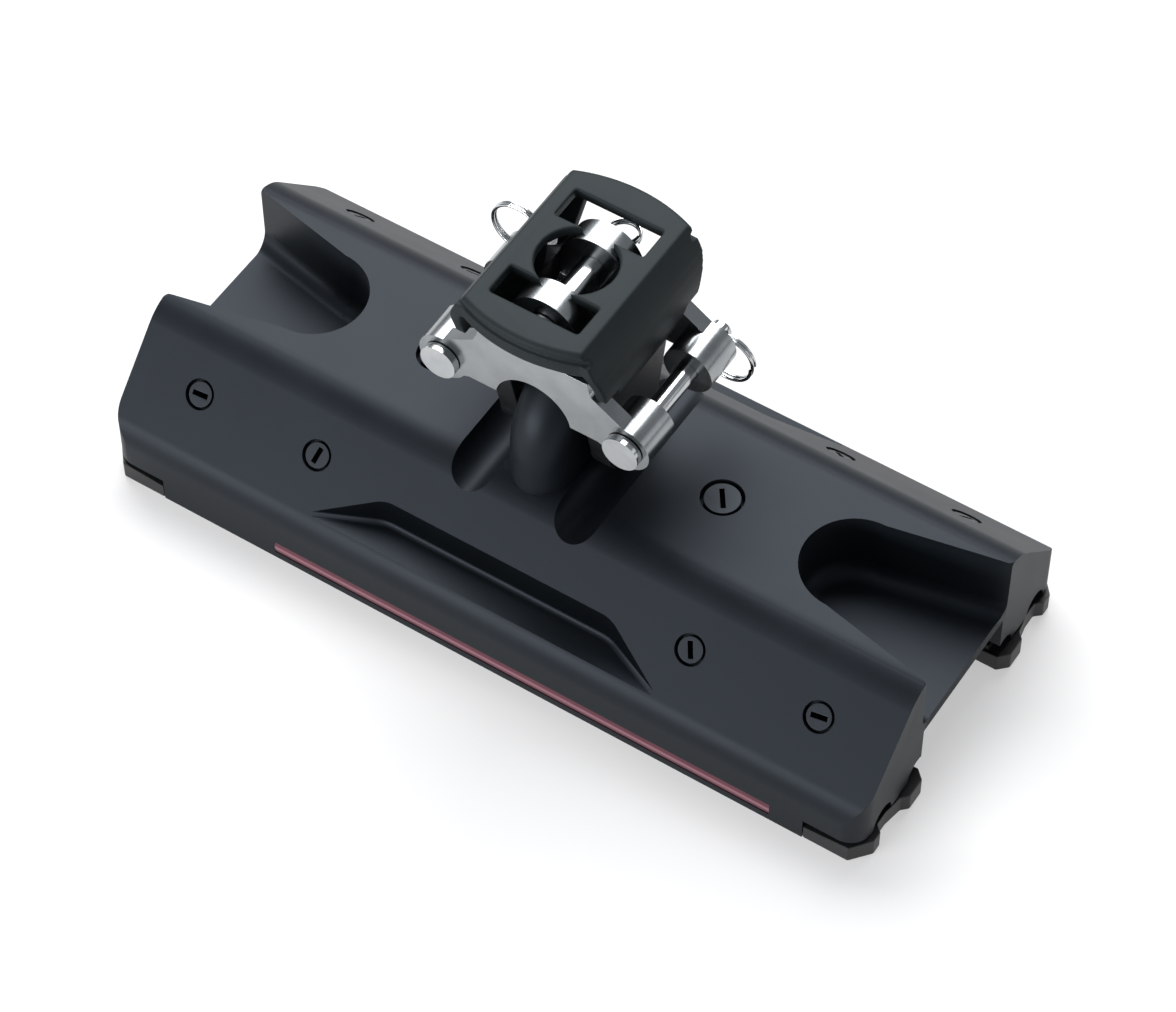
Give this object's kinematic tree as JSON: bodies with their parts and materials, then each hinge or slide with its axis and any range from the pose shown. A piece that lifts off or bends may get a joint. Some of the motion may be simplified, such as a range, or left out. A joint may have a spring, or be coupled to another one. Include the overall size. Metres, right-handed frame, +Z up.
{
  "type": "mainsheet traveller car",
  "caption": "Ball-bearing sailing traveller car with a tilting toggle under a stand-up boot, two control plates with clevis pins, and scooped ends.",
  "frame": {"origin": "under the middle of the car, at the level of the bottom of its legs", "axes": "+X along the track, +Y across it to the far side in the picture, +Z up"},
  "size_m": [0.2662, 0.1142, 0.1247],
  "materials": {
    "anodised": "satin hard-anodised black, lightly handled",
    "stripe": "thin red line",
    "cap": "moulded black, slight sheen",
    "ball": "smooth tan bearing balls",
    "screw": "black slotted screws",
    "bush": "smooth dark bearing plastic",
    "steel": "polished stainless steel",
    "spring_steel": "plain spring steel",
    "coated": "black coating",
    "polished": "polished stainless casting",
    "wire": "bright stainless wire",
    "boot": "soft moulded black, satin"
  },
  "bodies": {
    "car": {"car_body": "anodised", "stripe_near": "stripe", "stripe_far": "stripe", "cap_left_near": "cap", "cap_left_far": "cap", "cap_right_near": "cap", "cap_right_far": "cap", "balls_near": "ball", "balls_far": "ball", "slope_screws": "screw", "centre_screws": "screw", "pivot_bush": "bush"},
    "toggle": {"pivot_yoke": "coated", "pivot_pin": "steel", "pivot_clip": "spring_steel", "toggle_fork": "polished", "control_plate_near": "polished", "control_plate_far": "polished", "boot": "boot"},
    "mainsheet_clevis": {"fork_pin": "steel"},
    "mainsheet_ring": {"fork_ring": "wire"},
    "left_clevis": {"ear_pin_left": "steel"},
    "left_ring": {"ear_ring_left": "wire"},
    "right_clevis": {"ear_pin_right": "steel"},
    "right_ring": {"ear_ring_right": "wire"}
  },
  "joints": [
    {"name": "toggle_tilt", "type": "hinge", "parent": "car", "child": "toggle", "pos_m": [0, 0, 0.062], "axis": [1, 0, 0], "range_deg": [-32, 32]},
    {"name": "mainsheet_clevis_turn", "type": "hinge", "parent": "toggle", "child": "mainsheet_clevis", "pos_m": [0, 0, 0.1125], "axis": [0, 1, 0], "continuous": true},
    {"name": "mainsheet_ring_swing", "type": "hinge", "parent": "mainsheet_clevis", "child": "mainsheet_ring", "pos_m": [0, 0.0198, 0.1125], "axis": [1, 0, 0], "range_deg": [-20, 20]},
    {"name": "left_clevis_turn", "type": "hinge", "parent": "toggle", "child": "left_clevis", "pos_m": [-0.0305, 0, 0.0864], "axis": [0, 1, 0], "continuous": true},
    {"name": "right_clevis_turn", "type": "hinge", "parent": "toggle", "child": "right_clevis", "pos_m": [0.0305, 0, 0.0864], "axis": [0, 1, 0], "continuous": true},
    {"name": "left_ring_swing", "type": "hinge", "parent": "left_clevis", "child": "left_ring", "pos_m": [-0.0305, 0.0256, 0.0864], "axis": [-0.5736, 0, -0.8192], "range_deg": [-3, 100]},
    {"name": "right_ring_swing", "type": "hinge", "parent": "right_clevis", "child": "right_ring", "pos_m": [0.0305, 0.0256, 0.0864], "axis": [0.8829, 0, 0.4695], "range_deg": [-3, 100]}
  ]
}
